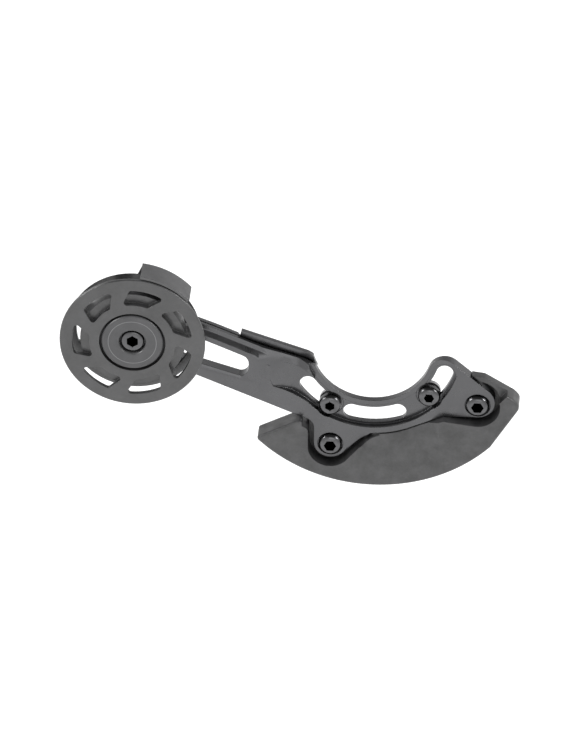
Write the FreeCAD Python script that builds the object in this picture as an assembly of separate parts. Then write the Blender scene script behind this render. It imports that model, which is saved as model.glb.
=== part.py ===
import FreeCAD, Part
import math
import os

# Bicycle chain guide: slotted mounting plate with an arm, idler pulley, chain keeper and skid guard.
# X points forward, Z up and Y towards the bicycle frame, so the drive side faces -Y.
# The origin lies on the bottom bracket axis, in the plane of the plate's rear face.

# Mounting to the frame: three tabs on a 56 mm circle, M6 bolts
bolt_circle_d = 56.0
mount_slot_w = 6.2
rear_slot = (-145.5, -121.0)      # degrees from +X, centres of the slot's round ends
middle_slot = (-105.0, -70.0)
front_slot = (-43.0, -19.0)
bolt_from_slot_end = 1.4          # degrees between a mount bolt and the end of its slot
bracket_clear_r = 21.9            # cradle round the bottom bracket

# Plate levels, measured forward from the rear face
plate_t = 4.4
web_t = 2.0                       # floor of the slot channel and of the arm's pocket
rim_t = 2.5                       # narrow rim beside the cradle

# Slotted web
web_edge_r = 34.5
web_edge_end = -66.0              # degrees, where the edge leaves the circle for the front boss
channel_half_w = 4.2
channel_flare_from = -133.0       # degrees, where the channel wall leaves its circle
channel_flare_r = 31.0
channel_flare_turn = 29.0         # degrees of the flare's reverse arc
channel_ramp = (-37.0, -29.0)     # X where the channel floor starts and ends its descent
lug_ramp = (24.5, 31.5)
rim_turn = -150.0                 # degrees, where the rim's edge leaves its circle for the arm
rim_bend_r = 8.0

# Bosses that hold the skid guard
rear_boss = (-14.85, -39.6)
rear_boss_r = 5.95
rear_boss_flank = 50.0            # degrees, slope of the forward flank
front_boss = (38.6, -19.9)
front_boss_r = 6.25
rear_skid_bolt = (-14.8, -39.8)
front_skid_bolt = (38.6, -21.0)
flank_fillet_r = 4.0
web_fillet_r = 5.6

# Arm, from the web back to the pulley
pulley_axis = (-85.6, 7.15)
arm_boss_r = 9.4
arm_low = (-29.1, -27.0)          # a point on the lower edge
arm_top_rear = (-57.0, 6.15)      # bends of the upper edge
arm_top_middle = (-40.6, -0.8)
arm_top_front = (-24.3, -5.9)
arm_top_bend_r = 60.0
arm_corner_r = 6.0
cradle_corner = -154.7            # degrees, where the upper edge meets the cradle
rail_w = 1.4                      # upper rail of the arm's pocket
top_rim_w = 2.9                   # rim along the upper edge beside the cradle
ridge_at = (-56.7, -11.0)         # a point on the edge of the lower rail
ridge_slope = -16.5               # degrees
pocket_rear_x = -73.0
pocket_corner_r = 3.0
pocket_ramp = (-47.5, -37.5)
window_rear_x = -70.0
window_front_x = -44.5
window_top_at = (-56.8, -0.7)
window_top_slope = -23.3
window_low_at = (-57.0, -9.4)
window_low_slope = -17.5
window_corner_r = 2.9
arm_boss_rear_t = 3.0
arm_boss_rear_r = 7.0

# Stiffening rib behind the arm's upper edge
rib_t = 1.7
rib_h = 4.5
rib_rear_x = -76.0
tab_rise = 2.3                    # how far the rib stands above the edge, forward of the notch
tab_x = (-47.3, -19.9)
tab_end_r = 5.4
notch_w = 1.4
notch_depth = 1.0
groove_w = 0.8
groove_depth = 0.9

# Skid guard
skid_t = 7.5                      # forward of the plate's rear face
skid_ledge_t = 3.2                # ledge beside the plate's front edge
skid_edge_centre = (1.0, 3.4)
skid_edge_r = 58.7
skid_rear_top = (-43.8, -37.5)     # a point on the line of the rear upper edge, past the arc
skid_rear_bend = (-27.4, -29.2)
skid_rear_slope = 14.0            # degrees, upper edge between the bend and the pocket
skid_top_rear = (35.0, -8.9)
skid_top_front = (41.0, -9.7)
skid_nose_top = (51.6, -16.2)
skid_nose = (54.4, -19.3)
skid_nose_slope = 58.5            # degrees, straight run below the nose
skid_round = 0.9
skid_end_r = 1.2
skid_corner_r = 3.0
skid_bend_r = 10.0
skid_stop = (48.5, -15.8)         # where the full depth ends beside the plate's sloping edge
pocket_gap = 2.0                  # between a boss and the wall of its pocket
rear_pocket_x = (-25.0, -3.0)     # ends of the rear pocket
rear_tip = (1.0, 2.2)             # width and front end of the narrow gap that runs on from it
web_gap = 0.4                     # between the web's edge and the guard
skid_pad_r = 11.0
skid_pad_t = 3.6
skid_pad_inset = 2.6              # below the guard's upper edge
skid_pad_inner_r = 35.0

# Fasteners
m5_r = 2.5
m5_hole_r = 2.7
m5_head_r = 4.3
m5_recess_r = 4.65
m5_recess_depth = 1.2
m6_r = 3.0
m6_hole_r = 3.15
dome_t = 2.9                      # domed heads of the mount and skid bolts
dome_rim = 1.3                    # upright side of the head
dome_top_r = 2.7                  # flat round the socket
mount_head_r = 4.1
mount_socket_r = 1.9
mount_socket_turns = (0.0, 30.0)  # degrees, rear and front bolt
mount_seat_r = 4.8                # spot face round a mount bolt's head
mount_seat_depth = 0.2
mount_shank_r = 2.7               # plain shank, narrower than the thread
mount_bolt_reach = 3.1            # thread's end behind the plate's rear face
mount_spacer_r = 4.0
mount_spacer_t = 1.5
axle_head_r = 4.1
axle_head_t = 2.4
head_chamfer = 0.4
socket_r = 2.3
socket_depth = 1.8
insert_r = 3.9                    # to the corners of its six sides
thread_gap = 0.02
overcut = 1.0                     # how far a cut runs past the face that it opens
tolerance = 1e-6

# Idler pulley and its bearing (15 x 24 x 5 mm)
pulley_front_y = -15.4
front_flange_t = 2.1              # at the drum
front_rim_t = 1.0                 # at the flange's edge
groove_t = 6.0
rear_flange_t = 1.5               # at the drum
front_flange_r = 26.3
rear_flange_r = 24.0
rear_bevel = (0.7, 1.1)           # across the rear flange's edge and along the axis
drum_r = 19.0
flange_chamfer = 0.3
pulley_windows = 7
pulley_window_r = (15.6, 21.8)
rear_window_r = (15.6, 20.9)
pulley_window_arc = 34.5          # degrees of each window's inner and outer edge
pulley_window_sweep = -11.5       # degrees that the outer edge trails the inner one
pulley_window_at = 80.5           # degrees from +X
pulley_window_corner_r = 1.1      # in the front flange
bearing_r = 12.0
bearing_bore_r = 7.5
bearing_w = 5.0
bearing_from_front = 2.0
ring_t = 1.45
ball_r = 1.19
ball_count = 15
ball_sides = 8                    # flats round a ball and round the raceways' section
race_gap = 0.05
seal_t = 0.4
seal_inset = 0.15
seal_gap = 0.3
cage_t = 0.8
crown_t = 0.4
rear_lip_r = 10.6
cap_r = 11.1
cap_t = 1.3
cap_chamfer = 0.4
cap_proud = 0.1
cap_recess_r = 4.8
cap_recess_depth = 3.1
fit_gap = 0.02
spigot_short = 0.2
spacer_r = 8.8

# Chain keeper
keeper_t = 1.0
keeper_gap = 0.4                  # to the flanges, and from the lip's front edge to the pulley's front
keeper_arc = (41.5, 83.5)         # degrees from +X about the pulley's axis
keeper_hub_r = 8.5
keeper_bend_r = 1.4               # outside of the bend between base and lip

os.makedirs("parts", exist_ok=True)
Y_AXIS = FreeCAD.Vector(0, 1, 0)


def point(x, z, y=0.0):
    return FreeCAD.Vector(x, y, z)


def polar(radius, degrees, centre=(0.0, 0.0)):
    turn = math.radians(degrees)
    return (centre[0] + radius * math.cos(turn), centre[1] + radius * math.sin(turn))


def meet(a, a_slope, b, b_slope):
    """Where the line through a meets the line through b, slopes in degrees."""
    ax, az = math.cos(math.radians(a_slope)), math.sin(math.radians(a_slope))
    bx, bz = math.cos(math.radians(b_slope)), math.sin(math.radians(b_slope))
    along = ((b[0] - a[0]) * bz - (b[1] - a[1]) * bx) / (ax * bz - az * bx)
    return (a[0] + along * ax, a[1] + along * az)


def on_line(start, slope, x):
    return (x, start[1] + (x - start[0]) * math.tan(math.radians(slope)))


def tangent_point(outside, centre, radius, side):
    """Point where a line from outside touches a circle, side +1 or -1."""
    dx, dz = outside[0] - centre[0], outside[1] - centre[1]
    spread = math.acos(radius / math.hypot(dx, dz))
    turn = math.atan2(dz, dx) + side * spread
    return (centre[0] + radius * math.cos(turn), centre[1] + radius * math.sin(turn))


def common_tangent(a, a_r, b, b_r):
    """Touch points of the line that runs along the left of the circles from a to b."""
    dx, dz = b[0] - a[0], b[1] - a[1]
    turn = math.atan2(dz, dx) + math.acos((a_r - b_r) / math.hypot(dx, dz))
    nx, nz = math.cos(turn), math.sin(turn)
    return (a[0] + a_r * nx, a[1] + a_r * nz), (b[0] + b_r * nx, b[1] + b_r * nz)


def outline(corners):
    """Face in the XZ plane with corners given as (x, z) or (x, z, fillet radius)."""
    runs = []
    for index, corner in enumerate(corners):
        here = point(*corner[:2])
        back = point(*corners[index - 1][:2]) - here
        ahead = point(*corners[(index + 1) % len(corners)][:2]) - here
        if len(corner) == 2:
            runs.append((here, None, here))
            continue
        back.normalize()
        ahead.normalize()
        half = back.getAngle(ahead) / 2
        inward = (back + ahead).normalize()
        reach = corner[2] / math.tan(half)
        middle = here + inward * (corner[2] / math.sin(half) - corner[2])
        runs.append((here + back * reach, middle, here + ahead * reach))
    edges = []
    for index, (start, middle, end) in enumerate(runs):
        if middle is not None:
            edges.append(Part.Arc(start, middle, end).toShape())
        following = runs[(index + 1) % len(runs)][0]
        if end.distanceToPoint(following) > tolerance:
            edges.append(Part.LineSegment(end, following).toShape())
    return Part.Face(Part.Wire(edges))


def disc(radius, centre=(0.0, 0.0)):
    return Part.Face(Part.Wire(Part.makeCircle(radius, point(*centre), Y_AXIS)))


def arc_edge(radius, start, end, centre=(0.0, 0.0)):
    through = [polar(radius, turn, centre) for turn in (start, (start + end) / 2, end)]
    return Part.Arc(*[point(*p) for p in through]).toShape()


def line_edge(a, b):
    return Part.LineSegment(point(*a), point(*b)).toShape()


def ring_sector(inner_r, outer_r, start, end, centre=(0.0, 0.0)):
    return Part.Face(Part.Wire([
        arc_edge(outer_r, start, end, centre),
        line_edge(polar(outer_r, end, centre), polar(inner_r, end, centre)),
        arc_edge(inner_r, end, start, centre),
        line_edge(polar(inner_r, start, centre), polar(outer_r, start, centre)),
    ]))


def arc_slot(mid_r, half_w, start, end):
    """Curved slot about the origin with round ends centred at start and end."""
    first, last = polar(mid_r, start), polar(mid_r, end)
    return Part.Face(Part.Wire([
        arc_edge(mid_r + half_w, start, end),
        arc_edge(half_w, end, end + 180, last),
        arc_edge(mid_r - half_w, end, start),
        arc_edge(half_w, start + 180, start + 360, first),
    ]))


def slab(face, rear_y, front_y):
    """Solid between two levels of Y from an XZ face."""
    placed = face.copy()
    placed.translate(FreeCAD.Vector(0, rear_y, 0))
    return placed.extrude(FreeCAD.Vector(0, front_y - rear_y, 0))


def level_cut(face, levels, reach):
    """Cutter over an XZ face whose floor follows (x, y) levels, open towards the front."""
    profile = [FreeCAD.Vector(x, y, -reach) for x, y in levels]
    front_y = -plate_t - overcut
    profile.append(FreeCAD.Vector(levels[-1][0], front_y, -reach))
    profile.append(FreeCAD.Vector(levels[0][0], front_y, -reach))
    prism = Part.Face(Part.makePolygon(profile + profile[:1])).extrude(FreeCAD.Vector(0, 0, 2 * reach))
    return slab(face, 0.0, front_y).common(prism)


def bore(radius, centre, rear_y, front_y):
    return slab(disc(radius, centre), rear_y, front_y)


def turned(profile, centre):
    """Body of revolution about an axis along Y, profile given as (radius, y)."""
    corners = [FreeCAD.Vector(radius, y, 0) for radius, y in profile]
    body = Part.Face(Part.makePolygon(corners + corners[:1])).revolve(FreeCAD.Vector(0, 0, 0), Y_AXIS, 360)
    body.translate(point(*centre))
    return body


def hexagon(radius, centre, first_turn=0.0):
    return outline([polar(radius, first_turn + turn, centre) for turn in range(0, 360, 60)])


def upright(solid):
    """Edges that run straight along Y."""
    return [edge for edge in solid.Edges if abs(edge.tangentAt(edge.FirstParameter).y) > 1 - tolerance]


def join(solids):
    first = solids[0]
    return first.fuse(solids[1:]).removeSplitter()


def save(name, solids):
    shape = solids[0] if len(solids) == 1 else Part.makeCompound(solids)
    shape.exportStep("parts/" + name + ".step")


# Backplate: outline of the web, the arm and the bosses
bolt_r = bolt_circle_d / 2
lug_centre = polar(bolt_r, front_slot[1])
lug_r = bolt_r - bracket_clear_r
lug_touch, boss_touch = common_tangent(lug_centre, lug_r, front_boss, front_boss_r)
front_boss_low = (front_boss[0], front_boss[1] - front_boss_r)
web_edge_low = (0.0, -web_edge_r)
web_edge_touch = polar(web_edge_r, web_edge_end)
flank_touch = polar(rear_boss_r, rear_boss_flank - 90, rear_boss)
rear_boss_side = (rear_boss[0] - rear_boss_r, rear_boss[1])
arm_low_touch = tangent_point(arm_low, pulley_axis, arm_boss_r, -1)
arm_top_touch = tangent_point(arm_top_rear, pulley_axis, arm_boss_r, 1)
arm_low_slope = math.degrees(math.atan2(arm_low[1] - arm_low_touch[1], arm_low[0] - arm_low_touch[0]))
plate_corners = [
    lug_touch,
    boss_touch,
    front_boss_low,
    meet(front_boss_low, 0, web_edge_touch, web_edge_end + 90) + (flank_fillet_r,),
    meet(web_edge_touch, web_edge_end + 90, web_edge_low, 0) + (web_edge_r,),
    meet(web_edge_low, 0, flank_touch, rear_boss_flank) + (web_fillet_r,),
    flank_touch,
    rear_boss_side,
    meet(rear_boss_side, 90, arm_low, arm_low_slope) + (flank_fillet_r,),
    arm_low_touch,
    arm_top_touch,
    arm_top_rear + (arm_top_bend_r,),
    arm_top_middle + (arm_top_bend_r,),
    arm_top_front + (arm_corner_r,),
    polar(bracket_clear_r - overcut, cradle_corner),
    (0.0, 0.0),
    lug_centre,
]
plate_face = outline(plate_corners)
plate = join([
    slab(face, 0.0, -plate_t)
    for face in (
        plate_face,
        disc(lug_r, lug_centre),
        disc(front_boss_r, front_boss),
        disc(rear_boss_r, rear_boss),
        disc(arm_boss_r, pulley_axis),
    )
])

# Slot channel: it follows the bolt circle, flares towards the arm and runs out on a ramp
channel_in_r = bolt_r - channel_half_w
channel_out_r = bolt_r + channel_half_w
flare_start = polar(channel_out_r, channel_flare_from)
flare_centre = polar(channel_out_r + channel_flare_r, channel_flare_from)
flare_turn = channel_flare_from + 180
flare_end = polar(channel_flare_r, flare_turn + channel_flare_turn, flare_centre)
rim_middle = (arm_top_middle[0], arm_top_middle[1] - top_rim_w)
rim_rise, rim_run = arm_top_front[1] - arm_top_middle[1], arm_top_front[0] - arm_top_middle[0]
rim_leave = polar(channel_in_r, rim_turn)
rim_bend = meet(rim_middle, math.degrees(math.atan2(rim_rise, rim_run)), rim_leave, rim_turn + 90)
flare_face = outline([flare_start, flare_end, rim_middle, rim_bend + (rim_bend_r,), rim_leave, (0.0, 0.0)])
flare_face = flare_face.cut([disc(channel_flare_r, flare_centre), disc(channel_in_r)])
channel_face = arc_slot(bolt_r, channel_half_w, channel_flare_from, front_slot[1])
rim_face = outline([rim_middle, rim_bend, rim_leave, (0.0, 0.0), (0.0, arm_top_middle[1]), arm_top_middle])
far_x = front_boss[0]


def sunk(face, thickness):
    levels = [(channel_ramp[0], -plate_t), (channel_ramp[1], -thickness), (far_x, -thickness)]
    return level_cut(face, levels, web_edge_r)


plate = plate.cut([
    sunk(channel_face, web_t),
    sunk(flare_face, web_t),
    sunk(disc(channel_in_r), rim_t),
    sunk(rim_face, rim_t),
])

# The lug's face rises from the rim's level to the front boss
lug_box = outline([
    (lug_ramp[0] - lug_r, lug_centre[1]),
    (lug_ramp[1], lug_centre[1]),
    (lug_ramp[1], lug_centre[1] + 2 * lug_r),
    (lug_ramp[0] - lug_r, lug_centre[1] + 2 * lug_r),
])
lug_levels = [(lug_ramp[0] - lug_r, -rim_t), (lug_ramp[0], -rim_t), (lug_ramp[1], -plate_t)]
plate = plate.cut(level_cut(lug_box, lug_levels, web_edge_r))

# Arm pocket between the upper rail and the ridge of the lower rail, with its lightening window
rail_drop = rail_w / math.cos(math.radians(window_top_slope))
rail_rise, rail_run = arm_top_rear[1] - arm_top_touch[1], arm_top_rear[0] - arm_top_touch[0]
rail_slope = math.degrees(math.atan2(rail_rise, rail_run))
rail_rear = on_line((arm_top_rear[0], arm_top_rear[1] - rail_drop), rail_slope, pocket_rear_x)
pocket_front_x = pocket_ramp[1] + overcut
pocket_face = outline([
    rail_rear + (pocket_corner_r,),
    (arm_top_rear[0], arm_top_rear[1] - rail_drop, arm_top_bend_r),
    (arm_top_middle[0], arm_top_middle[1] - rail_drop),
    (pocket_front_x, arm_top_middle[1] - rail_drop),
    on_line(ridge_at, ridge_slope, pocket_front_x),
    on_line(ridge_at, ridge_slope, pocket_rear_x) + (pocket_corner_r,),
])
pocket_levels = [(pocket_rear_x - overcut, -web_t), (pocket_ramp[0], -web_t), (pocket_ramp[1], -plate_t)]
window_face = outline([
    on_line(window_top_at, window_top_slope, window_rear_x) + (window_corner_r,),
    on_line(window_top_at, window_top_slope, window_front_x) + (window_corner_r,),
    on_line(window_low_at, window_low_slope, window_front_x) + (window_corner_r,),
    on_line(window_low_at, window_low_slope, window_rear_x) + (window_corner_r,),
])
plate = plate.cut([
    level_cut(pocket_face, pocket_levels, web_edge_r),
    slab(window_face, overcut, -plate_t),
])

# Rib behind the arm's upper edge, with a notch and a raised tab, and a relief groove in front of it
def top_z(x):
    """Height of the arm's upper edge, without its bends."""
    if x < arm_top_rear[0]:
        return on_line(arm_top_rear, rail_slope, x)[1]
    if x < arm_top_middle[0]:
        a, b = arm_top_rear, arm_top_middle
    else:
        a, b = arm_top_middle, arm_top_front
    return a[1] + (x - a[0]) * (b[1] - a[1]) / (b[0] - a[0])


notch_x = tab_x[0] - notch_w
groove_rear_x = rib_rear_x + rib_t
tab_rear_z = top_z(tab_x[0]) + tab_rise
tab_front_z = top_z(tab_x[1]) + tab_rise
cradle_end = polar(bracket_clear_r, cradle_corner)
rib_face = outline([
    (rib_rear_x, top_z(rib_rear_x)),
    (rib_rear_x, top_z(rib_rear_x) - rib_h),
    (arm_top_rear[0], arm_top_rear[1] - rib_h),
    (arm_top_middle[0], arm_top_middle[1] - rib_h),
    (arm_top_front[0], arm_top_front[1] - rib_h),
    cradle_end,
    (tab_x[1], tab_front_z, tab_end_r),
    (tab_x[0], tab_rear_z),
    (notch_x + notch_w / 2, top_z(notch_x) - notch_depth),
    (notch_x, top_z(notch_x)),
    arm_top_rear + (arm_top_bend_r,),
])
rib = slab(rib_face, rib_t, 0.0)
groove_face = outline([
    (groove_rear_x, top_z(groove_rear_x) + groove_depth),
    (groove_rear_x, top_z(groove_rear_x) - groove_depth),
    (arm_top_rear[0], arm_top_rear[1] - groove_depth, arm_top_bend_r),
    (arm_top_middle[0], arm_top_middle[1] - groove_depth, arm_top_bend_r),
    (arm_top_front[0], arm_top_front[1] - groove_depth),
    (cradle_end[0], cradle_end[1]),
    (arm_top_front[0] + groove_depth, arm_top_front[1] + groove_depth),
    (arm_top_middle[0], arm_top_middle[1] + groove_depth),
    (arm_top_rear[0], arm_top_rear[1] + groove_depth),
])
arm_boss_rear = bore(arm_boss_rear_r, pulley_axis, arm_boss_rear_t, 0.0)
plate = join([plate, rib, arm_boss_rear])
plate = plate.cut(slab(groove_face, 0.0, -groove_w))

# Cradle, mounting slots and bolt holes
through_rear_y = arm_boss_rear_t + overcut
holes = [bore(bracket_clear_r, (0.0, 0.0), through_rear_y, -plate_t)]
for start, end in (rear_slot, middle_slot, front_slot):
    holes.append(slab(arc_slot(bolt_r, mount_slot_w / 2, start, end), through_rear_y, -plate_t))
mount_bolt_turns = (rear_slot[1] - bolt_from_slot_end, front_slot[0] + bolt_from_slot_end)
mount_bolt_at = [polar(bolt_r, turn) for turn in mount_bolt_turns]
seat_y = mount_seat_depth - web_t
for centre in mount_bolt_at:
    holes.append(bore(mount_seat_r, centre, seat_y, -plate_t))
for centre in (rear_skid_bolt, front_skid_bolt):
    holes.append(bore(m5_hole_r, centre, through_rear_y, -plate_t))
    holes.append(bore(m5_recess_r, centre, m5_recess_depth - plate_t, -plate_t))
holes.append(bore(m6_r + thread_gap, pulley_axis, through_rear_y, -plate_t))
plate = plate.cut(holes)
save("backplate", [plate])

# Mount bolts with domed heads in spot faces of the channel, and a light washer behind the plate on each
mount_bolts = []
mount_spacers = []


def domed_bolt(shank, head_r, head_seat_y, centre, socket_face):
    """Bolt from the profile of its shank, with a domed head on a seat and a hexagon socket."""
    top_y = head_seat_y - dome_t
    head = [(head_r, head_seat_y), (head_r, head_seat_y - dome_rim), (dome_top_r, top_y), (0.0, top_y)]
    return turned(shank + head, centre).cut(slab(socket_face, top_y + socket_depth, top_y))


for centre, socket_turn in zip(mount_bolt_at, mount_socket_turns):
    shank = [
        (0.0, mount_bolt_reach),
        (m6_r, mount_bolt_reach),
        (m6_r, mount_spacer_t),
        (mount_shank_r, mount_spacer_t),
        (mount_shank_r, seat_y),
    ]
    socket_face = hexagon(mount_socket_r, centre, socket_turn)
    mount_bolts.append(domed_bolt(shank, mount_head_r, seat_y, centre, socket_face))
    washer_face = disc(mount_spacer_r, centre).cut(disc(m6_hole_r, centre))
    mount_spacers.append(slab(washer_face, mount_spacer_t, 0.0))
save("mount_bolts", mount_bolts)
save("mount_spacers", mount_spacers)

# Skid guard: one arc below, a straight run to the nose, all front edges rounded
skid_low_z = skid_edge_centre[1] - skid_edge_r
skid_face = outline([
    skid_rear_top,
    skid_rear_bend + (skid_bend_r,),
    on_line(skid_rear_bend, skid_rear_slope, rear_boss[0]),
    (0.0, 0.0),
    skid_top_rear,
    skid_top_front + (skid_corner_r,),
    skid_nose_top + (skid_corner_r,),
    skid_nose + (skid_corner_r,),
    meet(skid_nose, skid_nose_slope, (0.0, skid_low_z), 0),
    (skid_rear_top[0], skid_low_z),
]).common(disc(skid_edge_r, skid_edge_centre))
skid = slab(skid_face, 0.0, -skid_t)
skid = skid.makeFillet(skid_end_r, [min(upright(skid), key=lambda edge: edge.CenterOfMass.x)])
front_edges = [edge for edge in skid.Edges if max(abs(end.Y + skid_t) for end in edge.Vertexes) < tolerance]
skid = skid.makeFillet(skid_round, front_edges)

# Room for the plate: a narrow gap along the web, a wide pocket round each boss
narrow_gap = Part.Face(plate_face.OuterWire.makeOffset2D(web_gap))
wide_gap = Part.Face(plate_face.OuterWire.makeOffset2D(pocket_gap))
room_faces = [
    disc(web_edge_r + web_gap),
    disc(rear_boss_r + pocket_gap, rear_boss),
    disc(front_boss_r + pocket_gap, front_boss),
    narrow_gap,
]
reach = 2 * skid_edge_r


def between(rear_x, front_x):
    return outline([(rear_x, -reach), (front_x, -reach), (front_x, reach), (rear_x, reach)])


room_faces.append(wide_gap.common(between(*rear_pocket_x)))
room_faces.append(disc(web_edge_r + rear_tip[0]).common(between(rear_pocket_x[1], rear_tip[1])))
front_corner = meet(front_boss_low, 0, web_edge_touch, web_edge_end + 90)
front_start = (front_corner[0], front_corner[1] - web_gap)
front_touch = tangent_point(front_start, front_boss, front_boss_r + pocket_gap, 1)
room_faces.append(outline([front_start, front_touch, front_boss]))
skid = skid.cut([slab(face, 0.0, -skid_t) for face in room_faces])

# Beside the plate's sloping edge only a ledge is left, up to a wall square to that edge
edge_slope = math.degrees(math.atan2(boss_touch[1] - lug_touch[1], boss_touch[0] - lug_touch[0]))
stop_foot = meet(skid_stop, edge_slope + 90, boss_touch, edge_slope)
stop_far = polar(reach, edge_slope + 90, stop_foot)
stop_face = outline([
    stop_foot,
    stop_far,
    polar(reach, edge_slope + 180, stop_far),
    polar(reach, edge_slope + 180, stop_foot),
])
skid = skid.cut(slab(stop_face, -skid_ledge_t, -skid_t))

# Pads behind the bosses, each with a bore for its insert
lowered_face = skid_face.copy()
lowered_face.translate(point(0.0, -skid_pad_inset))
pads = []
for centre in (rear_skid_bolt, front_skid_bolt):
    pad = disc(skid_pad_r, centre).common(skid_face).common(lowered_face).cut(disc(skid_pad_inner_r))
    pads.append(slab(pad, skid_pad_t, 0.0))
skid = join([skid] + pads)
insert_faces = [hexagon(insert_r, centre) for centre in (rear_skid_bolt, front_skid_bolt)]
skid = skid.cut([slab(face, skid_pad_t, 0.0) for face in insert_faces])
save("skid_plate", [skid])

# Six-sided inserts in the guard's pads, and the bolts that enter them through the plate's bosses
skid_inserts = []
skid_bolts = []
m5_seat_y = m5_recess_depth - plate_t
for centre, insert_face in zip((rear_skid_bolt, front_skid_bolt), insert_faces):
    threaded_face = insert_face.cut(disc(m5_r + thread_gap, centre))
    skid_inserts.append(slab(threaded_face, skid_pad_t, 0.0))
    shank = [(0.0, skid_pad_t), (m5_r, skid_pad_t), (m5_r, m5_seat_y)]
    skid_bolts.append(domed_bolt(shank, m5_head_r, m5_seat_y, centre, hexagon(socket_r, centre)))
save("skid_inserts", skid_inserts)
save("skid_bolts", skid_bolts)

# Idler pulley: two flanges of unequal size on a drum, bored from the front for its bearing
drum_front_y = pulley_front_y + front_flange_t
drum_rear_y = drum_front_y + groove_t
pulley_rear_y = drum_rear_y + rear_flange_t
bearing_front_y = pulley_front_y + bearing_from_front
bearing_rear_y = bearing_front_y + bearing_w
wheel = turned([
    (bearing_r, pulley_front_y),
    (front_flange_r - flange_chamfer, pulley_front_y),
    (front_flange_r, pulley_front_y + flange_chamfer),
    (front_flange_r, pulley_front_y + front_rim_t),
    (drum_r, drum_front_y),
    (drum_r, drum_rear_y),
    (rear_flange_r, pulley_rear_y - rear_bevel[1]),
    (rear_flange_r - rear_bevel[0], pulley_rear_y),
    (rear_lip_r, pulley_rear_y),
    (rear_lip_r, bearing_rear_y),
    (bearing_r, bearing_rear_y),
], pulley_axis)


def swept_window(centre_turn, radii, rear_y, front_y):
    """Cutter for one window whose outer edge trails its inner edge."""
    inner_r, outer_r = radii
    half_arc, half_sweep = pulley_window_arc / 2, pulley_window_sweep / 2
    inner = (centre_turn - half_sweep - half_arc, centre_turn - half_sweep + half_arc)
    outer = (centre_turn + half_sweep - half_arc, centre_turn + half_sweep + half_arc)
    face = Part.Face(Part.Wire([
        arc_edge(inner_r, inner[0], inner[1], pulley_axis),
        line_edge(polar(inner_r, inner[1], pulley_axis), polar(outer_r, outer[1], pulley_axis)),
        arc_edge(outer_r, outer[1], outer[0], pulley_axis),
        line_edge(polar(outer_r, outer[0], pulley_axis), polar(inner_r, inner[0], pulley_axis)),
    ]))
    return slab(face, rear_y, front_y)


window_cuts = []
for step in range(pulley_windows):
    turn = pulley_window_at + step * 360 / pulley_windows
    front_window = swept_window(turn, pulley_window_r, drum_front_y, pulley_front_y)
    window_cuts.append(front_window.makeFillet(pulley_window_corner_r, upright(front_window)))
    window_cuts.append(swept_window(turn, rear_window_r, pulley_rear_y, drum_rear_y))
wheel = wheel.cut(window_cuts)
save("pulley_wheel", [wheel])

# Bearing: grooved rings, balls in a crown cage, and a seal on each side that turns with the outer ring
pitch_r = (bearing_bore_r + bearing_r) / 2
bearing_mid_y = (bearing_front_y + bearing_rear_y) / 2
inner_land_r = bearing_bore_r + ring_t
outer_land_r = bearing_r - ring_t
race_r = ball_r + race_gap
race_flat = race_r * math.tan(math.radians(180 / ball_sides))


def ring(inner_r, outer_r, rear_y, front_y):
    return slab(disc(outer_r, pulley_axis).cut(disc(inner_r, pulley_axis)), rear_y, front_y)


def grooved_ring(back_r, land_r, race_bottom_r):
    """Bearing ring with an eight-sided raceway between its back and its land."""
    race_mouth = race_flat + abs(land_r - race_bottom_r)
    return turned([
        (back_r, bearing_rear_y),
        (land_r, bearing_rear_y),
        (land_r, bearing_mid_y + race_mouth),
        (race_bottom_r, bearing_mid_y + race_flat),
        (race_bottom_r, bearing_mid_y - race_flat),
        (land_r, bearing_mid_y - race_mouth),
        (land_r, bearing_front_y),
        (back_r, bearing_front_y),
    ], pulley_axis)


save("bearing_inner_ring", [grooved_ring(bearing_bore_r, inner_land_r, pitch_r - race_r)])
save("bearing_outer_ring", [grooved_ring(bearing_r, outer_land_r, pitch_r + race_r)])

# Balls with eighteen flats each, in a crown cage that has a post between each two of them
side_turn = 360 / ball_sides
octagon_r = ball_r / math.cos(math.radians(side_turn / 2))
octagon = outline([polar(octagon_r, side_turn * (step + 0.5)) for step in range(ball_sides)])
along_y = slab(octagon, ball_r, -ball_r)
along_x = along_y.copy()
along_x.rotate(point(0, 0), FreeCAD.Vector(0, 0, 1), 90)
along_z = along_y.copy()
along_z.rotate(point(0, 0), FreeCAD.Vector(1, 0, 0), 90)
flat_ball = along_y.common([along_x]).common([along_z])
ball_pitch = 360 / ball_count
cage_inner_r = pitch_r - cage_t / 2
ball_half = math.degrees(math.asin(race_r / cage_inner_r))
cage_outer_r = pitch_r + cage_t / 2
crown_y = bearing_mid_y + race_r
balls = []
cage_pieces = [ring(cage_inner_r, cage_outer_r, crown_y + crown_t, crown_y)]
for step in range(ball_count):
    turn = step * ball_pitch
    ball = flat_ball.copy()
    ball.rotate(point(0, 0), Y_AXIS, -turn)
    ball.translate(point(*polar(pitch_r, turn, pulley_axis), bearing_mid_y))
    balls.append(ball)
    post_end = turn + ball_pitch - ball_half
    post = ring_sector(cage_inner_r, cage_outer_r, turn + ball_half, post_end, pulley_axis)
    cage_pieces.append(slab(post, crown_y, bearing_mid_y - ball_r))
save("bearing_balls", balls)
cage = join(cage_pieces)
save("bearing_cage", [cage])
seal_front_y = bearing_front_y + seal_inset
seal_rear_y = bearing_rear_y - seal_inset
seal_inner_r = inner_land_r + seal_gap
save("bearing_seal_front", [ring(seal_inner_r, outer_land_r, seal_front_y + seal_t, seal_front_y)])
save("bearing_seal_rear", [ring(seal_inner_r, outer_land_r, seal_rear_y, seal_rear_y - seal_t)])

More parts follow.
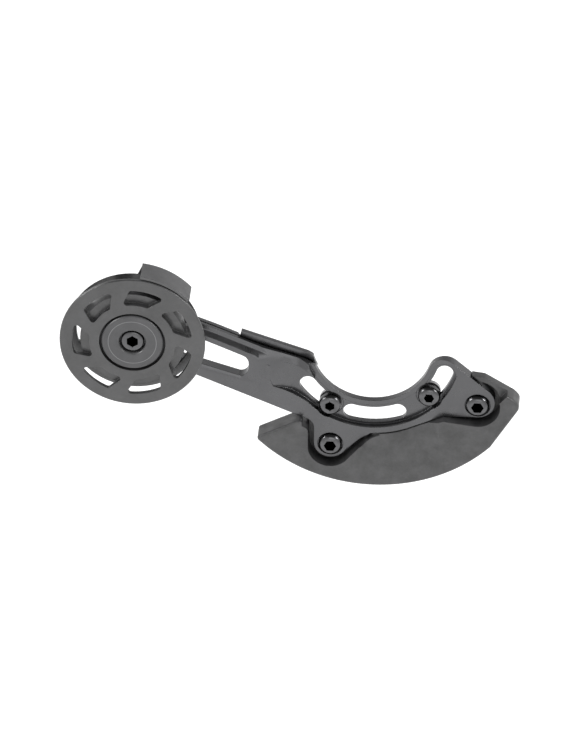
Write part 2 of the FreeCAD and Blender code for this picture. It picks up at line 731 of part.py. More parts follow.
# Chain keeper: a curved lip over the front flange, on a flat base clamped against the arm's boss
base_front_y = pulley_rear_y + keeper_gap
base_rear_y = -plate_t
keeper_inner_r = front_flange_r + keeper_gap
keeper_outer_r = keeper_inner_r + keeper_t
bend_r = keeper_outer_r - keeper_bend_r
inner_bend_r = keeper_bend_r - keeper_t
lip_front_y = pulley_front_y + keeper_gap
outer_mid = polar(keeper_bend_r, 45, (bend_r, base_rear_y - keeper_bend_r))
inner_mid = polar(inner_bend_r, 45, (bend_r, base_rear_y - keeper_bend_r))


def in_section(a):
    """Point of the keeper's cross-section, given as radius and y, turned to the start of its arc."""
    x, z = polar(a[0], keeper_arc[0])
    return point(x, z, a[1])


bends = [
    ((bend_r, base_rear_y), outer_mid, (keeper_outer_r, base_rear_y - keeper_bend_r)),
    ((keeper_inner_r, base_rear_y - keeper_bend_r), inner_mid, (bend_r, base_front_y)),
]
sides = [
    (bends[0][2], (keeper_outer_r, lip_front_y)),
    ((keeper_outer_r, lip_front_y), (keeper_inner_r, lip_front_y)),
    ((keeper_inner_r, lip_front_y), bends[1][0]),
    (bends[1][2], bends[0][0]),
]
section_edges = [Part.Arc(*[in_section(a) for a in bend]).toShape() for bend in bends]
section_edges += [Part.LineSegment(*[in_section(a) for a in side]).toShape() for side in sides]
section = Part.Face(Part.Wire(Part.sortEdges(section_edges)[0]))
lip = section.revolve(FreeCAD.Vector(0, 0, 0), -Y_AXIS, keeper_arc[1] - keeper_arc[0])
lip.translate(point(*pulley_axis))
lip_ends = [polar(bend_r, turn, pulley_axis) for turn in keeper_arc]
base_face = outline([
    pulley_axis,
    tangent_point(lip_ends[0], pulley_axis, keeper_hub_r, -1),
    lip_ends[0],
    meet(lip_ends[0], keeper_arc[0] + 90, lip_ends[1], keeper_arc[1] + 90),
    lip_ends[1],
    tangent_point(lip_ends[1], pulley_axis, keeper_hub_r, 1),
]).common(disc(bend_r, pulley_axis))
keeper = join([
    lip,
    slab(base_face, base_rear_y, base_front_y),
    bore(keeper_hub_r, pulley_axis, base_rear_y, base_front_y),
])
keeper = keeper.cut(bore(m6_hole_r, pulley_axis, base_rear_y, base_front_y))
save("chain_keeper", [keeper])
save("rear_spacer", [ring(m6_hole_r, spacer_r, base_front_y, bearing_rear_y)])

# Bearing cap: its spigot carries the bearing, and its shoulder presses the inner ring on the spacer
cap_front_y = pulley_front_y - cap_proud
cap_rear_y = cap_front_y + cap_t
spigot_end_y = bearing_rear_y - spigot_short
spigot_r = bearing_bore_r - fit_gap
recess_y = cap_front_y + cap_recess_depth
cap = turned([
    (m6_hole_r, spigot_end_y),
    (spigot_r, spigot_end_y),
    (spigot_r, bearing_front_y),
    (spacer_r, bearing_front_y),
    (spacer_r, cap_rear_y),
    (cap_r, cap_rear_y),
    (cap_r, cap_front_y + cap_chamfer),
    (cap_r - cap_chamfer, cap_front_y),
    (cap_recess_r + cap_chamfer, cap_front_y),
    (cap_recess_r, cap_front_y + cap_chamfer),
    (cap_recess_r, recess_y),
    (m6_hole_r, recess_y),
], pulley_axis)
save("bearing_cap", [cap])

# Axle bolt through the cap, the spacer and the keeper into the arm's boss
axle_top_y = recess_y - axle_head_t
axle_bolt = turned([
    (0.0, arm_boss_rear_t),
    (m6_r, arm_boss_rear_t),
    (m6_r, recess_y),
    (axle_head_r, recess_y),
    (axle_head_r, axle_top_y + head_chamfer),
    (axle_head_r - head_chamfer, axle_top_y),
    (0.0, axle_top_y),
], pulley_axis)
axle_socket = slab(hexagon(socket_r, pulley_axis), axle_top_y + socket_depth, axle_top_y)
save("axle_bolt", [axle_bolt.cut(axle_socket)])
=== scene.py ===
import math

import bmesh
import bpy
from mathutils import Matrix, Vector


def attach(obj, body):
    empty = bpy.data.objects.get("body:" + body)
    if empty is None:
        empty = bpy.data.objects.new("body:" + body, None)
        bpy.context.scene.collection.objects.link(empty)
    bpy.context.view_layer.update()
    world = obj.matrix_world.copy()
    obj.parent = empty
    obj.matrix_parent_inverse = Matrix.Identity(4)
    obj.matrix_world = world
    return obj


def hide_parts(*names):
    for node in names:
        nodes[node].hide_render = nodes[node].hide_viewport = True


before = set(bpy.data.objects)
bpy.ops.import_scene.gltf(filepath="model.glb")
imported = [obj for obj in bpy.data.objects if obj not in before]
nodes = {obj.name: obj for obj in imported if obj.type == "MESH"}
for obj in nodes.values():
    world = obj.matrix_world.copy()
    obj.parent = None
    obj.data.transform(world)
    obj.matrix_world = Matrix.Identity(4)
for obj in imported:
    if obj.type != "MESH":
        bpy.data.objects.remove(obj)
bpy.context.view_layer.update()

# Backplate: machined from thick aluminium plate, blasted and black anodised.
# It bolts to the bicycle frame round the bottom bracket and carries all the other pieces.


def shader_of(material):
    return material.node_tree.nodes["Principled BSDF"]


def new_finish(name, colour, roughness, metallic=0.0, gloss=0.5):
    """Material with its shader set to one colour and roughness, ready for patterns."""
    material = bpy.data.materials.new(name)
    material.use_nodes = True
    shader = shader_of(material)
    shader.inputs["Base Color"].default_value = (*colour, 1.0)
    shader.inputs["Roughness"].default_value = roughness
    shader.inputs["Metallic"].default_value = metallic
    shader.inputs["Specular IOR Level"].default_value = gloss
    return material


def add_node(owner, kind, **values):
    """Adds a node to a material or world and sets its inputs by name, with underscores for spaces."""
    node = owner.node_tree.nodes.new(kind)
    for key, value in values.items():
        socket = node.inputs.get(key.replace("_", " "))
        if socket is None:
            setattr(node, key, value)
        else:
            socket.default_value = value
    return node


def wire(owner, out_socket, in_socket):
    owner.node_tree.links.new(out_socket, in_socket)


def object_point(material, centre=(0.0, 0.0, 0.0), stretch=(1.0, 1.0, 1.0)):
    """Object coordinates moved to a centre and stretched."""
    coords = add_node(material, "ShaderNodeTexCoord")
    mapping = add_node(material, "ShaderNodeMapping", vector_type="POINT")
    mapping.inputs["Location"].default_value = [-c * s for c, s in zip(centre, stretch)]
    mapping.inputs["Scale"].default_value = stretch
    wire(material, coords.outputs["Object"], mapping.inputs["Vector"])
    return mapping.outputs["Vector"]


def noise(material, place, scale, detail=3.0, roughness=0.55):
    texture = add_node(material, "ShaderNodeTexNoise", Scale=scale, Detail=detail, Roughness=roughness)
    wire(material, place, texture.inputs["Vector"])
    return texture.outputs["Fac"]


def spread(material, value, low, high, start=0.3, end=0.7):
    """Spreads a pattern over a range of numbers."""
    ramp = add_node(material, "ShaderNodeMapRange", From_Min=start, From_Max=end, To_Min=low, To_Max=high)
    wire(material, value, ramp.inputs["Value"])
    return ramp.outputs["Result"]


def shade(material, value, dark, light, start=0.3, end=0.7):
    """Spreads a pattern between two colours and gives it to the shader."""
    ramp = add_node(material, "ShaderNodeValToRGB")
    ramp.color_ramp.elements[0].position = start
    ramp.color_ramp.elements[0].color = (*dark, 1.0)
    ramp.color_ramp.elements[1].position = end
    ramp.color_ramp.elements[1].color = (*light, 1.0)
    wire(material, value, ramp.inputs["Fac"])
    wire(material, ramp.outputs["Color"], shader_of(material).inputs["Base Color"])


def roughen(material, value):
    wire(material, value, shader_of(material).inputs["Roughness"])


def emboss(material, value, strength, distance, edge_r=0.0003):
    """Turns a pattern into fine relief, distance in metres, and rounds the look of sharp edges."""
    soft = add_node(material, "ShaderNodeBevel", Radius=edge_r, samples=6)
    bump = add_node(material, "ShaderNodeBump", Strength=strength, Distance=distance)
    wire(material, soft.outputs["Normal"], bump.inputs["Normal"])
    wire(material, value, bump.inputs["Height"])
    wire(material, bump.outputs["Normal"], shader_of(material).inputs["Normal"])


def grey(level):
    """Nearly neutral colour with a touch of blue."""
    return (level, level, level * 1.03)


plate_finish = new_finish("anodised_plate", grey(0.145), 0.42, 1.0)
plate_place = object_point(plate_finish)
shade(plate_finish, noise(plate_finish, plate_place, 60.0), grey(0.1), grey(0.115))
roughen(plate_finish, spread(plate_finish, noise(plate_finish, plate_place, 220.0), 0.24, 0.34))
emboss(plate_finish, noise(plate_finish, plate_place, 4500.0, 2.0), 0.25, 0.00003)

same_point, near_point, slack = 1e-7, 1e-6, 1e-4
flat_angle = math.radians(0.5)
copy_sharp_angle = math.radians(30)


def merged_copy(node):
    """Copy of a solid's mesh, with its faces joined at their edges."""
    shape = bmesh.new()
    shape.from_mesh(nodes[node].data)
    bmesh.ops.remove_doubles(shape, verts=shape.verts, dist=same_point)
    return shape


def join_flat(shape):
    """Merges points that lie together and joins faces that lie in one plane."""
    bmesh.ops.remove_doubles(shape, verts=shape.verts, dist=near_point)
    bmesh.ops.dissolve_limit(shape, angle_limit=flat_angle, verts=shape.verts, edges=shape.edges)


def add_object(name, shape):
    """Puts a finished shape in the scene."""
    data = bpy.data.meshes.new(name)
    shape.to_mesh(data)
    shape.free()
    piece = bpy.data.objects.new(name, data)
    bpy.context.scene.collection.objects.link(piece)
    return piece


def bridged_bar(outlines):
    """Closed bar through outlines of points, each with as many points as the next."""
    bar = bmesh.new()
    rings = []
    for points in outlines:
        corners = [bar.verts.new(place) for place in points]
        rings.append([bar.edges.new(pair) for pair in zip(corners, corners[1:] + corners[:1])])
    for ring, following in zip(rings, rings[1:]):
        bmesh.ops.bridge_loops(bar, edges=ring + following)
    bmesh.ops.contextual_create(bar, geom=rings[0])
    bmesh.ops.contextual_create(bar, geom=rings[-1])
    bmesh.ops.recalc_face_normals(bar, faces=bar.faces)
    return add_object("bar", bar)


def swept_bar(section, stations):
    """Bar of one (y, height) section through stations (x, y shift, z)."""
    return bridged_bar([[(x, y + shift, z + rise) for y, rise in section] for x, shift, z in stations])


def straight_bar(outline, depths):
    """Bar of one (x, z) outline between two depths y."""
    return bridged_bar([[(x, y, z) for x, z in outline] for y in depths])


def machine(piece, bar, operation):
    """Cuts a bar from a piece, or welds it on, and takes the bar away."""
    job = piece.modifiers.new("job", "BOOLEAN")
    job.operation = operation
    job.solver = "EXACT"
    job.object = bar
    done = bpy.data.meshes.new_from_object(piece.evaluated_get(bpy.context.evaluated_depsgraph_get()))
    piece.modifiers.remove(job)
    piece.data = done
    bpy.data.objects.remove(bar)


def take_place(piece, node):
    """Fixes a piece to the guide and shows it in place of a solid."""
    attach(piece, "guide")
    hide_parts(node)


def finish_copy(piece, material, node):
    """Joins flat faces, sets normals and the material, and puts the piece in its solid's place."""
    joined = bmesh.new()
    joined.from_mesh(piece.data)
    join_flat(joined)
    joined.to_mesh(piece.data)
    joined.free()
    piece.data.materials.clear()
    piece.data.materials.append(material)
    for name in ("custom_normal", "sharp_edge", "sharp_face"):
        layer = piece.data.attributes.get(name)
        if layer is not None:
            piece.data.attributes.remove(layer)
    piece.data.shade_smooth()
    piece.data.set_sharp_from_angle(angle=copy_sharp_angle)
    normals = piece.modifiers.new("normals", "WEIGHTED_NORMAL")
    normals.weight = 100
    normals.keep_sharp = True
    take_place(piece, node)


def line_z(line, x):
    """Height at x of a line through a point (x, z) at a slope in degrees."""
    return line[1] + (x - line[0]) * math.tan(math.radians(line[2]))


# The arm's face lies just below the plate's front and rises to a soft ridge along its lower rail.
plate_front, pocket_floor, arm_face = -0.0044, -0.0020, -0.00385
pocket_span = (-0.0735, -0.0376)
window_span = (-0.0701, -0.0444)
window_low = (-0.0570, -0.0094, -17.5)
window_top = (-0.0568, -0.0007, -23.3)
window_rise = 0.00117
ridge = (-0.0567, -0.0110, -16.5)
ridge_round, ridge_angle = 0.0005, math.radians(4)
face_share = (arm_face - plate_front) / (pocket_floor - plate_front)
shape = merged_copy("backplate")
for vert in shape.verts:
    x, y, z = vert.co
    low, top = line_z(window_low, x), line_z(window_top, x)
    inside = low - slack < z < top + slack and window_span[0] - slack < x < window_span[1] + slack
    if inside and y > plate_front + slack:
        vert.co.z += window_rise * max(0.0, min(1.0, (z - low) / (top - low)))
    if pocket_span[0] < x < pocket_span[1] and plate_front + slack < y < pocket_floor + slack:
        share = 0.0 if z < line_z(ridge, x) + slack else face_share
        vert.co.y = plate_front + (y - plate_front) * share
join_flat(shape)
crest = [
    edge for edge in shape.edges
    if edge.calc_face_angle(0.0) > ridge_angle
    and all(abs(end.co.y - plate_front) < slack / 10 for end in edge.verts)
    and all(abs(end.co.z - line_z(ridge, end.co.x)) < slack for end in edge.verts)
]
bmesh.ops.bevel(
    shape, geom=crest, offset=ridge_round, offset_type="OFFSET", segments=4, profile=0.5,
    affect="EDGES", material=-1, clamp_overlap=False,
)
plate = add_object("machined_plate", shape)

# The arm's upper edge is milled back in a rebate with a sloped foot, which runs out before the cradle.
rebate_y, rebate_h, foot_r, foot_turn, foot_steps = -0.0020, 0.0015, 0.0006, 52.0, 5
outside_y, above = -0.009, 0.005
upright = 1 / math.cos(math.radians(22.5))
rebate = [(outside_y, above), (rebate_y, above)]
for step in range(foot_steps + 1):
    turn = math.radians(foot_turn * step / foot_steps)
    depth = rebate_y - foot_r * (1 - math.cos(turn))
    rebate.append((depth, -(rebate_h + foot_r * math.sin(turn)) * upright))
foot_run = rebate[-1][0] - outside_y
rebate.append((outside_y, rebate[-1][1] - foot_run / math.tan(math.radians(foot_turn)) * upright))
rebate_run = [
    (-0.0740, 0.0, 0.01274),
    (-0.0570, 0.0, 0.00615),
    (-0.0412, 0.0, -0.00055),
    (-0.0362, -0.0009, -0.00218),
]
machine(plate, swept_bar(rebate, rebate_run), "DIFFERENCE")

# Forward of the rebate the edge under the rib slopes back.
rib_top_y, rib_slope_h = -0.0023, 0.0055
rib_slope = [
    (outside_y, above),
    (rib_top_y, above),
    (rib_top_y, 0.0),
    (plate_front - slack, -rib_slope_h),
    (outside_y, -rib_slope_h),
]
rib_run = [
    (-0.0450, -0.0002, 0.00106),
    (-0.0406, 0.0, -0.0008),
    (-0.0320, 0.0006, -0.00349),
    (-0.0265, 0.0006, -0.00521),
    (-0.0210, -0.0024, -0.0070),
]
machine(plate, swept_bar(rib_slope, rib_run), "DIFFERENCE")

# A round fillet leads from the rear boss into the web's edge.
fillet = [
    (-0.0085, -0.04146), (-0.0070, -0.0400), (-0.0052, -0.03825), (-0.0039, -0.0371),
    (-0.0028, -0.03635), (-0.0016, -0.03570), (-0.0003, -0.03468), (0.0014, -0.03447),
    (0.0014, -0.0340), (-0.0040, -0.0345), (-0.0080, -0.0390),
]
machine(plate, straight_bar(fillet, (plate_front, 0.0)), "UNION")
finish_copy(plate, plate_finish, "backplate")

# Washers: plain aluminium rings on the mount bolts, between the plate and the frame's tabs.
# They are turned and left bare, so they show as light rings behind the slots.


def dress(node, material):
    for slot in nodes[node].material_slots:
        slot.material = material


washer_finish = new_finish("bare_washer", grey(0.4), 0.34, 1.0)
washer_place = object_point(washer_finish)
shade(washer_finish, noise(washer_finish, washer_place, 300.0), grey(0.36), grey(0.44))
roughen(washer_finish, spread(washer_finish, noise(washer_finish, washer_place, 900.0), 0.28, 0.42))
dress("mount_spacers", washer_finish)

# Bolts: black oxide steel with hexagon sockets, forged and rolled, with a thin film of oil.
# Two hold the plate on the frame, two hold the skid guard and one is the pulley's axle.
bolt_finish = new_finish("black_steel", grey(0.11), 0.2, 1.0)
bolt_place = object_point(bolt_finish)
shade(bolt_finish, noise(bolt_finish, bolt_place, 350.0), grey(0.09), grey(0.125))
roughen(bolt_finish, spread(bolt_finish, noise(bolt_finish, bolt_place, 700.0), 0.13, 0.24))
emboss(bolt_finish, noise(bolt_finish, bolt_place, 3000.0, 2.0), 0.1, 0.00002, 0.0002)
bolt_sides, socket_sides = 48, 6
socket_depth, socket_taper = 0.0018, 0.85
bolt_sharp_angle = math.radians(40)


def spun_bolt(profile, socket_r, socket_turn, centre):
    """Bolt spun from (radius, y) points, from its tip to the flat round a hexagon socket."""
    body = bmesh.new()
    line = [body.verts.new((radius, y, 0.0)) for radius, y in profile]
    runs = [body.edges.new(pair) for pair in zip(line, line[1:])]
    bmesh.ops.spin(
        body, geom=line + runs, cent=(0.0, 0.0, 0.0), axis=(0.0, 1.0, 0.0),
        angle=2 * math.pi, steps=bolt_sides, use_merge=True,
    )
    bmesh.ops.remove_doubles(body, verts=body.verts, dist=same_point)
    rim = [edge for edge in body.edges if edge.is_boundary]
    facing = Matrix.Translation((0.0, profile[-1][1], 0.0)) @ Matrix.Rotation(math.pi / 2, 4, "X")
    facing = facing @ Matrix.Rotation(math.radians(socket_turn), 4, "Z")
    mouth = bmesh.ops.create_circle(body, segments=socket_sides, radius=socket_r, matrix=facing)["verts"]
    sides = {edge for vert in mouth for edge in vert.link_edges}
    bmesh.ops.subdivide_edges(body, edges=list(sides), cuts=bolt_sides // socket_sides - 1)
    sides = [edge for edge in body.edges if edge.is_wire]
    bmesh.ops.bridge_loops(body, edges=rim + sides)
    for depth, closing in ((socket_depth, socket_taper), (socket_r / 3, 0.0)):
        walls = bmesh.ops.extrude_edge_only(body, edges=sides)["geom"]
        foot = [part for part in walls if isinstance(part, bmesh.types.BMVert)]
        sides = [part for part in walls if isinstance(part, bmesh.types.BMEdge) and part.is_boundary]
        bmesh.ops.scale(body, vec=(closing, 1.0, closing), verts=foot)
        bmesh.ops.translate(body, vec=(0.0, depth, 0.0), verts=foot)
    bmesh.ops.remove_doubles(body, verts=body.verts, dist=same_point)
    bmesh.ops.recalc_face_normals(body, faces=body.faces)
    bmesh.ops.translate(body, vec=(centre[0], 0.0, centre[1]), verts=body.verts)
    return body


def add_bolts(name, bodies):
    """One object from the bolts of a set, smooth except at its sharp edges."""
    whole = bmesh.new()
    single = bpy.data.meshes.new("single")
    for body in bodies:
        body.to_mesh(single)
        body.free()
        whole.from_mesh(single)
    piece = add_object(name, whole)
    piece.data.shade_smooth()
    piece.data.set_sharp_from_angle(angle=bolt_sharp_angle)
    piece.data.materials.append(bolt_finish)
    return piece


def domed(head_r, seat_y, steps=8):
    """Half profile of a button head from its rim to the flat round the socket."""
    rim_h, dome_h, flat_r, round_r = 0.0013, 0.0016, 0.0024, 0.0002
    points = [(head_r - round_r, seat_y), (head_r, seat_y - round_r)]
    for step in range(steps + 1):
        turn = math.radians(90 * step / steps)
        radius = flat_r + (head_r - flat_r) * math.cos(turn)
        points.append((radius, seat_y - rim_h - dome_h * math.sin(turn)))
    return points


def threaded(core_r, crest_r, tip_y, end_y, pitch):
    """Half profile of a thread from its chamfered tip, as rings one pitch apart."""
    points = [(0.0, tip_y), (core_r, tip_y)]
    y = tip_y - pitch / 2
    while y > end_y:
        points += [(crest_r, y), (core_r, y - pitch / 2)]
        y -= pitch
    return points


mount_seat, mount_tip, mount_neck = -0.0018, 0.0031, 0.0015
mount_core_r, mount_crest_r, mount_neck_r, mount_pitch = 0.0025, 0.00298, 0.0027, 0.0008
mount_head_r, mount_socket_r = 0.0041, 0.0019
mount_profile = threaded(mount_core_r, mount_crest_r, mount_tip, mount_neck + 0.0002, mount_pitch)
mount_profile += [(mount_neck_r, mount_neck), (mount_neck_r, mount_seat)] + domed(mount_head_r, mount_seat)
mount_bolts = add_bolts("mount_bolt_pair", [
    spun_bolt(mount_profile, mount_socket_r, 0.0, (-0.015003, -0.023641)),
    spun_bolt(mount_profile, mount_socket_r, 30.0, (0.020938, -0.018590)),
])
take_place(mount_bolts, "mount_bolts")

skid_seat, skid_tip, skid_shank_r, skid_chamfer = -0.0032, 0.0036, 0.0025, 0.0003
skid_head_r, skid_socket_r = 0.0043, 0.0023
skid_profile = [
    (0.0, skid_tip),
    (skid_shank_r - skid_chamfer, skid_tip),
    (skid_shank_r, skid_tip - skid_chamfer),
    (skid_shank_r, skid_seat),
] + domed(skid_head_r, skid_seat)
skid_bolts = add_bolts("skid_bolt_pair", [
    spun_bolt(skid_profile, skid_socket_r, 30.0, (-0.0148, -0.0398)),
    spun_bolt(skid_profile, skid_socket_r, 30.0, (0.0386, -0.0210)),
])
take_place(skid_bolts, "skid_bolts")

axle_tip, axle_seat, axle_top = 0.0030, -0.0124, -0.0148
axle_r, axle_chamfer, axle_head_r, axle_flat_r, axle_socket_r = 0.0030, 0.0004, 0.0041, 0.0027, 0.0023
axle_profile = [
    (0.0, axle_tip),
    (axle_r - axle_chamfer, axle_tip),
    (axle_r, axle_tip - axle_chamfer),
    (axle_r, axle_seat),
    (axle_head_r, axle_seat),
    (axle_head_r, axle_top + 0.0005),
    (axle_head_r - 0.0001, axle_top + 0.0002),
    (axle_head_r - 0.0004, axle_top),
    (axle_flat_r, axle_top),
]
axle_bolt = add_bolts("axle_screw", [spun_bolt(axle_profile, axle_socket_r, 0.0, (-0.0856, 0.00715))])
take_place(axle_bolt, "axle_bolt")

# Skid guard: moulded from tough nylon, with brass inserts for its two bolts.
# Its face is faintly mottled by the flow of the plastic and scuffed in handling.
guard_finish = new_finish("moulded_guard", grey(0.03), 0.4, gloss=0.85)
guard_place = object_point(guard_finish)
shade(guard_finish, noise(guard_finish, guard_place, 120.0, 9.0, 0.72), grey(0.01), grey(0.048), 0.36, 0.66)
roughen(guard_finish, spread(guard_finish, noise(guard_finish, guard_place, 320.0, 5.0), 0.3, 0.5))
emboss(guard_finish, noise(guard_finish, guard_place, 1500.0, 4.0), 0.3, 0.00005)
guard = add_object("moulded_skid_guard", merged_copy("skid_plate"))

# Between the bosses its face slopes back to lie level with the plate's edge. The section is given as
# radius and depth, and the run as degrees round the bottom bracket with a shift in depth.
guard_slope = [
    (0.0330, -0.0045), (0.0351, -0.0046), (0.0430, -0.0077), (0.0430, -0.0110), (0.0330, -0.0110),
]
run_out = -0.0032
guard_run = [(-99, run_out)] + [(turn, 0.0) for turn in range(-90, -53, 6)] + [(-45, run_out)]
machine(guard, bridged_bar([
    [(r * math.cos(math.radians(turn)), y + shift, r * math.sin(math.radians(turn))) for r, y in guard_slope]
    for turn, shift in guard_run
]), "DIFFERENCE")

# The rear pocket runs out in a point along the plate's fillet.
pocket_depths = (-0.012, -0.0003)
pocket_end = [
    (-0.0050, -0.0360), (-0.0050, -0.0398), (-0.0036, -0.0388), (-0.0028, -0.0380),
    (-0.0019, -0.03735), (-0.0011, -0.0369), (0.0006, -0.03615), (0.0021, -0.0356),
    (0.0032, -0.0352), (0.0030, -0.0342), (-0.0030, -0.0342),
]
machine(guard, straight_bar(pocket_end, pocket_depths), "DIFFERENCE")
finish_copy(guard, guard_finish, "skid_plate")
insert_finish = new_finish("turned_brass", (0.62, 0.47, 0.2), 0.3, 1.0)
insert_place = object_point(insert_finish)
shade(insert_finish, noise(insert_finish, insert_place, 400.0), (0.52, 0.38, 0.15), (0.66, 0.5, 0.23))
dress("skid_inserts", insert_finish)

# Chain keeper: bent from sheet, painted satin black and clamped behind the pulley.
# It holds the chain on the pulley.
keeper_finish = new_finish("painted_keeper", grey(0.05), 0.4, gloss=1.0)
keeper_place = object_point(keeper_finish)
shade(keeper_finish, noise(keeper_finish, keeper_place, 120.0), grey(0.052), grey(0.064))
roughen(keeper_finish, spread(keeper_finish, noise(keeper_finish, keeper_place, 400.0), 0.42, 0.54))
emboss(keeper_finish, noise(keeper_finish, keeper_place, 3000.0, 2.0), 0.25, 0.00003)
dress("chain_keeper", keeper_finish)

# Bearing: hardened steel rings and balls in a moulded crown cage, with rubber seals on both sides.
# Only its rear seal can be seen, in the ring between the spacer and the pulley's lip.
steel_finish = new_finish("ground_steel", grey(0.52), 0.22, 1.0)
steel_place = object_point(steel_finish)
shade(steel_finish, noise(steel_finish, steel_place, 500.0), grey(0.46), grey(0.56))
dress("bearing_inner_ring", steel_finish)
dress("bearing_balls", steel_finish)
# The outer ring is painted near black as painted shade. It stands for the shadow in the deep gap round the
# cap, though the real ring is steel.
gap_shade_finish = new_finish("outer_ring_painted_shade", grey(0.03), 0.5, 0.5)
gap_shade_place = object_point(gap_shade_finish)
shade(gap_shade_finish, noise(gap_shade_finish, gap_shade_place, 500.0), grey(0.024), grey(0.036))
dress("bearing_outer_ring", gap_shade_finish)
cage_finish = new_finish("moulded_cage", (0.3, 0.28, 0.23), 0.5)
cage_place = object_point(cage_finish)
shade(cage_finish, noise(cage_finish, cage_place, 500.0), (0.26, 0.24, 0.2), (0.33, 0.31, 0.26))
dress("bearing_cage", cage_finish)
seal_finish = new_finish("seal_rubber", grey(0.022), 0.62)
seal_place = object_point(seal_finish)
shade(seal_finish, noise(seal_finish, seal_place, 600.0), grey(0.018), grey(0.028))
dress("bearing_seal_front", seal_finish)
dress("bearing_seal_rear", seal_finish)

# Idler pulley: moulded in hard plastic with seven swept windows, satin on its faces.
# It spins on the bearing and carries the chain in its groove.
pulley_finish = new_finish("moulded_pulley", grey(0.035), 0.36, gloss=0.95)
pulley_place = object_point(pulley_finish)
shade(pulley_finish, noise(pulley_finish, pulley_place, 70.0, 8.0, 0.68), grey(0.018), grey(0.05), 0.35, 0.68)
roughen(pulley_finish, spread(pulley_finish, noise(pulley_finish, pulley_place, 420.0), 0.28, 0.42))
emboss(pulley_finish, noise(pulley_finish, pulley_place, 2600.0, 3.0), 0.25, 0.00003)
dress("pulley_wheel", pulley_finish)

# Bearing cap and rear spacer: turned from aluminium and black anodised.
# The cap's spigot carries the bearing, and the axle bolt draws both up against the arm.
pulley_centre = (-0.0856, 0.0, 0.00715)
tool_pitch = 0.00022
engraved_colour = (0.2, 0.2, 0.206, 1.0)


def turned(name, ring_r, ring_w):
    """Turned aluminium with fine tool marks round the pulley's axis and one bright engraved ring."""
    finish = new_finish(name, grey(0.085), 0.36, 0.15)
    flat_place = object_point(finish, pulley_centre, (1.0, 0.0, 1.0))
    from_axis = add_node(finish, "ShaderNodeVectorMath", operation="LENGTH")
    wire(finish, flat_place, from_axis.inputs[0])
    cuts = add_node(finish, "ShaderNodeMath", operation="MULTIPLY")
    cuts.inputs[1].default_value = 2 * math.pi / tool_pitch
    wire(finish, from_axis.outputs["Value"], cuts.inputs[0])
    waves = add_node(finish, "ShaderNodeMath", operation="SINE")
    wire(finish, cuts.outputs["Value"], waves.inputs[0])
    emboss(finish, waves.outputs["Value"], 0.12, 0.00002)
    shade(finish, noise(finish, object_point(finish), 160.0), grey(0.07), grey(0.092))
    base = shader_of(finish).inputs["Base Color"]
    plain = base.links[0].from_socket
    ring = add_node(finish, "ShaderNodeMath", operation="COMPARE")
    ring.inputs[1].default_value = ring_r
    ring.inputs[2].default_value = ring_w / 2
    wire(finish, from_axis.outputs["Value"], ring.inputs[0])
    mix = add_node(finish, "ShaderNodeMixRGB", Color2=engraved_colour)
    wire(finish, ring.outputs["Value"], mix.inputs["Fac"])
    wire(finish, plain, mix.inputs["Color1"])
    wire(finish, mix.outputs["Color"], base)
    return finish


dress("bearing_cap", turned("turned_cap", 0.0087, 0.00026))
dress("rear_spacer", turned("turned_spacer", 0.0, 0.0))

# Studio: a pale floor well below the part, white all round and a darker ceiling in reflections.
# Soft lamps stand to the left, right, front and top, as for a catalogue picture.
floor_z, floor_size, floor_glow = -0.22, 6.0, 0.5
floor_mesh = bmesh.new()
bmesh.ops.create_grid(floor_mesh, x_segments=1, y_segments=1, size=floor_size)
bmesh.ops.translate(floor_mesh, verts=floor_mesh.verts, vec=(0.0, 0.0, floor_z))
floor = add_object("studio_floor", floor_mesh)


def seen_rays(owner):
    """One where a ray comes from the camera, a reflection or glass, and else zero."""
    path = add_node(owner, "ShaderNodeLightPath")
    total = path.outputs["Is Camera Ray"]
    for kind in ("Is Glossy Ray", "Is Transmission Ray"):
        either = add_node(owner, "ShaderNodeMath", operation="MAXIMUM")
        wire(owner, total, either.inputs[0])
        wire(owner, path.outputs[kind], either.inputs[1])
        total = either.outputs["Value"]
    return total


floor_finish = new_finish("pale_floor", (0.8, 0.8, 0.8), 0.9)
glow_strength = add_node(floor_finish, "ShaderNodeMath", operation="MULTIPLY")
glow_strength.inputs[1].default_value = floor_glow
wire(floor_finish, seen_rays(floor_finish), glow_strength.inputs[0])
glow = add_node(floor_finish, "ShaderNodeEmission")
wire(floor_finish, glow_strength.outputs["Value"], glow.inputs["Strength"])
floor_sum = add_node(floor_finish, "ShaderNodeAddShader")
wire(floor_finish, shader_of(floor_finish).outputs["BSDF"], floor_sum.inputs[0])
wire(floor_finish, glow.outputs["Emission"], floor_sum.inputs[1])
floor_output = floor_finish.node_tree.nodes["Material Output"]
wire(floor_finish, floor_sum.outputs["Shader"], floor_output.inputs["Surface"])
floor.data.materials.append(floor_finish)

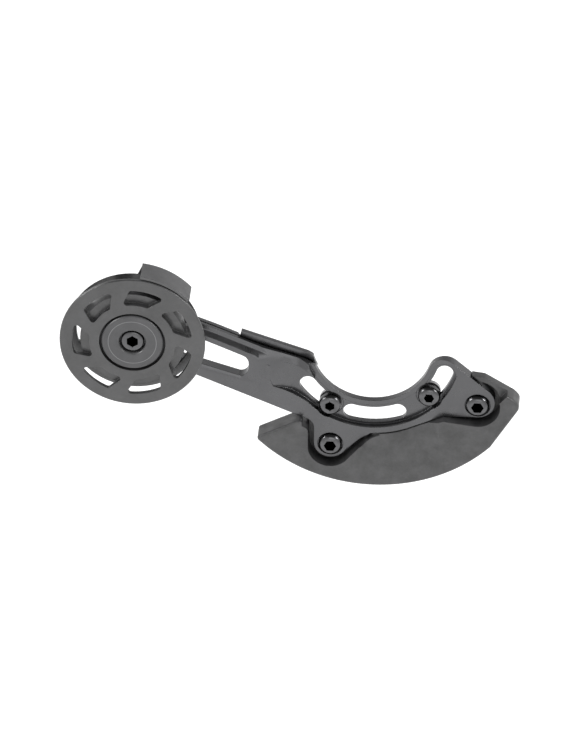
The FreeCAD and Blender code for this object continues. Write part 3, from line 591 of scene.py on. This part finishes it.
white = (1.0, 1.0, 1.0, 1.0)
ambient = 0.6
world = bpy.data.worlds.new("studio_white")
bpy.context.scene.world = world
world.use_nodes = True
surround = world.node_tree.nodes["Background"]
surround.inputs["Color"].default_value = white
surround.inputs["Strength"].default_value = ambient
backdrop = add_node(world, "ShaderNodeBackground", Color=white)
direction = add_node(world, "ShaderNodeTexCoord")
height = add_node(world, "ShaderNodeSeparateXYZ")
wire(world, direction.outputs["Generated"], height.inputs["Vector"])
ceiling = add_node(
    world, "ShaderNodeMapRange", interpolation_type="SMOOTHSTEP",
    From_Min=0.3, From_Max=0.8, To_Min=1.0, To_Max=0.12,
)
wire(world, height.outputs["Z"], ceiling.inputs["Value"])
camera_path = add_node(world, "ShaderNodeLightPath")
shown = add_node(world, "ShaderNodeMath", operation="MAXIMUM")
wire(world, camera_path.outputs["Is Camera Ray"], shown.inputs[0])
wire(world, ceiling.outputs["Result"], shown.inputs[1])
wire(world, shown.outputs["Value"], backdrop.inputs["Strength"])
world_mix = add_node(world, "ShaderNodeMixShader")
wire(world, seen_rays(world), world_mix.inputs["Fac"])
wire(world, surround.outputs["Background"], world_mix.inputs[1])
wire(world, backdrop.outputs["Background"], world_mix.inputs[2])
wire(world, world_mix.outputs["Shader"], world.node_tree.nodes["World Output"].inputs["Surface"])

middle = Vector((-0.0296, 0.0, -0.0138))


def soft_lamp(name, place, power, size):
    """Square lamp that faces the middle of the picture."""
    lamp = bpy.data.lights.new(name, "AREA")
    lamp.energy = power
    lamp.size = size
    holder = bpy.data.objects.new(name, lamp)
    holder.location = place
    holder.rotation_euler = (middle - Vector(place)).to_track_quat("-Z", "Y").to_euler()
    bpy.context.scene.collection.objects.link(holder)
    return holder


soft_lamp("left_light", (-0.8, -0.25, 0.45), 3.0, 0.3)
soft_lamp("right_light", (0.75, -0.25, 0.5), 3.0, 0.3)
soft_lamp("front_light", (0.15, -1.5, 0.32), 1.8, 0.8)
top_light = soft_lamp("top_light", (-0.1, -0.1, 0.9), 3.0, 0.6)
top_light.visible_glossy = False

# Camera: at the photograph's angle, with a long lens so that the view is nearly parallel.
# Its right and up are the directions read from the photograph.
lens = 400.0
sensor = 36.0
pixels_per_metre = 2760.0
image_height = 750.0
right = Vector((0.99737, 0.07254, 0.0))
up = Vector((-0.0387, 0.532, 0.8458))
back = right.cross(up)
distance = lens / sensor * image_height / pixels_per_metre
camera_data = bpy.data.cameras.new("camera")
camera_data.lens = lens
camera_data.sensor_width = sensor
camera_data.clip_end = 50.0
camera = bpy.data.objects.new("camera", camera_data)
turned_to = Matrix((right.normalized(), up.normalized(), back.normalized())).transposed()
camera.matrix_world = Matrix.Translation(middle + back * distance) @ turned_to.to_4x4()
bpy.context.scene.collection.objects.link(camera)
bpy.context.scene.camera = camera
bpy.context.scene.view_settings.view_transform = "Standard"
